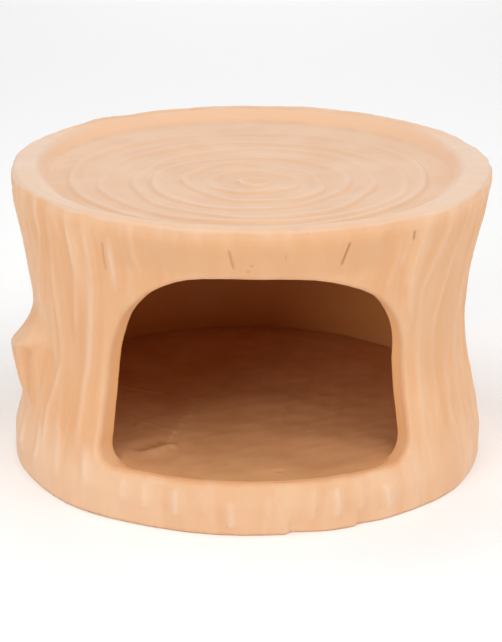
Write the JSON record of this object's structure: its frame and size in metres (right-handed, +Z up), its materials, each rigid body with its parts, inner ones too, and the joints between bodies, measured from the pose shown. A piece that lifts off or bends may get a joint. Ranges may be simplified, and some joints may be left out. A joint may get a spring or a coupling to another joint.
{
  "type": "small animal hideout",
  "caption": "Low hollow tree stump in unglazed terracotta with a wide arched doorway, bark ridges, a branch knot, a flat floor and a dished top of growth rings, as a hide for a small pet.",
  "frame": {"origin": "on the table, at the middle of the foot ring", "axes": "+Z up, the doorway faces -Y, the branch knot is on the -X side"},
  "size_m": [0.1677, 0.1678, 0.104],
  "materials": {
    "wall_clay": "matte, unglazed",
    "top_clay": "matte, unglazed",
    "floor_clay": "matte, unglazed",
    "coil_clay": "matte, unglazed"
  },
  "bodies": {
    "root": {"bark_wall": "wall_clay", "ring_top": "top_clay", "rim_cove": "top_clay", "roof_coil": "coil_clay", "floor_slab": "floor_clay", "floor_coil": "coil_clay", "branch_knot": "wall_clay"}
  },
  "joints": []
}
